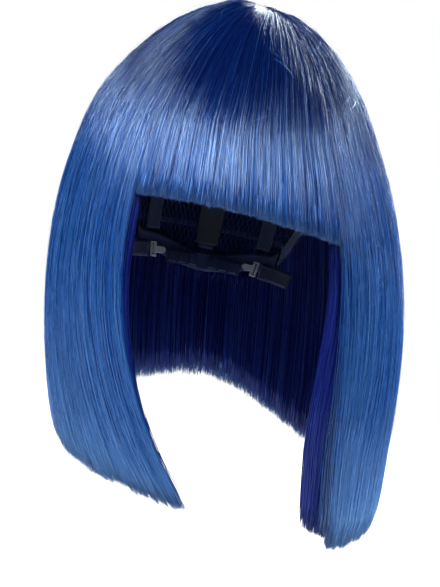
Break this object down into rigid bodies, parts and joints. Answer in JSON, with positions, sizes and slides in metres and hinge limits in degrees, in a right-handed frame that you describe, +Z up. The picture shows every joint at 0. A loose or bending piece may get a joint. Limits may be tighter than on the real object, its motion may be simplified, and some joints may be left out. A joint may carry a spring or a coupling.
{
  "type": "costume wig",
  "caption": "Shoulder-length straight bob wig, longer in front, with a blunt fringe, sewn in rows on a stretch cap with nape straps",
  "frame": {"origin": "middle of the head opening, level with the lower ends of the ear tabs", "axes": "+Z up through the crown, -Y out of the face, +X to the wearer's left"},
  "size_m": [0.2347, 0.2317, 0.3131],
  "materials": {
    "hair": "straight synthetic fibre, glossy along the strands",
    "under_hair": "straight synthetic fibre, shaded",
    "net": "stretch lace net, matt",
    "ribbon": "woven ribbon, soft",
    "weft": "machine-sewn fibre track",
    "elastic": "ribbed elastic",
    "hook": "clear moulded nylon",
    "label": "blank satin"
  },
  "bodies": {
    "cap": {"crown_net": "net", "crown_patch": "net", "forehead_band": "ribbon", "nape_band": "ribbon", "ear_band_left": "ribbon", "ear_band_right": "ribbon", "spine_centre": "elastic", "spine_inner_left": "elastic", "spine_inner_right": "elastic", "spine_outer_left": "elastic", "spine_outer_right": "elastic", "weft_row_1": "weft", "weft_row_2": "weft", "weft_row_3": "weft", "weft_row_4": "weft", "weft_row_5": "weft", "weft_row_6": "weft", "weft_row_7": "weft", "weft_row_8": "weft", "temple_weft_left": "weft", "temple_weft_right": "weft", "fringe_weft": "weft", "hook_tape_left": "elastic", "hook_tape_right": "elastic", "care_label": "label", "crown_whorl": "hair", "crown_hair_front": "hair", "crown_hair_left": "hair", "crown_hair_back": "hair", "crown_hair_right": "hair"},
    "fringe": {"fringe_hair": "hair", "fringe_under_hair": "under_hair"},
    "left_front": {"left_front_lock": "hair", "left_front_under_hair": "under_hair"},
    "left_side": {"left_side_hair": "hair", "left_side_under_hair": "under_hair"},
    "right_front": {"right_front_lock": "hair", "right_front_under_hair": "under_hair"},
    "right_side": {"right_side_hair": "hair", "right_side_under_hair": "under_hair"},
    "back": {"back_hair": "hair", "back_under_hair": "under_hair"},
    "left_tab": {"ear_tab_left": "ribbon"},
    "right_tab": {"ear_tab_right": "ribbon"},
    "left_strap": {"adjuster_strap_left": "elastic"},
    "left_hook": {"adjuster_hook_left": "hook"},
    "right_strap": {"adjuster_strap_right": "elastic"},
    "right_hook": {"adjuster_hook_right": "hook"}
  },
  "joints": [
    {"name": "fringe_lift", "type": "hinge", "parent": "cap", "child": "fringe", "pos_m": [0, -0.089, 0.0475], "axis": [-1, 0, 0], "range_deg": [0, 45]},
    {"name": "left_front_swing", "type": "hinge", "parent": "cap", "child": "left_front", "pos_m": [0.0905, -0.0625, 0], "axis": [-0.5739, -0.8189, 0], "range_deg": [0, 35]},
    {"name": "left_side_swing", "type": "hinge", "parent": "cap", "child": "left_side", "pos_m": [0.107, 0.0267, 0], "axis": [0.2421, -0.9703, 0], "range_deg": [0, 35]},
    {"name": "right_front_swing", "type": "hinge", "parent": "cap", "child": "right_front", "pos_m": [-0.0679, -0.055, 0], "axis": [-0.5739, 0.8189, 0], "range_deg": [0, 30]},
    {"name": "right_side_swing", "type": "hinge", "parent": "cap", "child": "right_side", "pos_m": [-0.0786, 0.0196, 0], "axis": [0.2421, 0.9703, 0], "range_deg": [0, 35]},
    {"name": "back_swing", "type": "hinge", "parent": "cap", "child": "back", "pos_m": [0.01, 0.1, 0], "axis": [1, 0, 0], "range_deg": [0, 30]},
    {"name": "left_tab_fold", "type": "hinge", "parent": "cap", "child": "left_tab", "pos_m": [0.0694, -0.0173, 0.044], "axis": [0.2421, 0.9703, 0], "range_deg": [0, 60]},
    {"name": "right_tab_fold", "type": "hinge", "parent": "cap", "child": "right_tab", "pos_m": [-0.0694, -0.0173, 0.044], "axis": [0.2421, -0.9703, 0], "range_deg": [0, 60]},
    {"name": "left_strap_swing", "type": "hinge", "parent": "cap", "child": "left_strap", "pos_m": [0.0559, 0.0504, -0.043], "axis": [0, 0, 1], "range_deg": [0, 60]},
    {"name": "left_hook_turn", "type": "hinge", "parent": "left_strap", "child": "left_hook", "pos_m": [0.037, 0.0725, -0.043], "axis": [0, 0, 1], "range_deg": [0, 60]},
    {"name": "right_strap_swing", "type": "hinge", "parent": "cap", "child": "right_strap", "pos_m": [-0.0559, 0.0504, -0.043], "axis": [0, 0, -1], "range_deg": [0, 60]},
    {"name": "right_hook_turn", "type": "hinge", "parent": "right_strap", "child": "right_hook", "pos_m": [-0.037, 0.0725, -0.043], "axis": [0, 0, -1], "range_deg": [0, 60]}
  ]
}
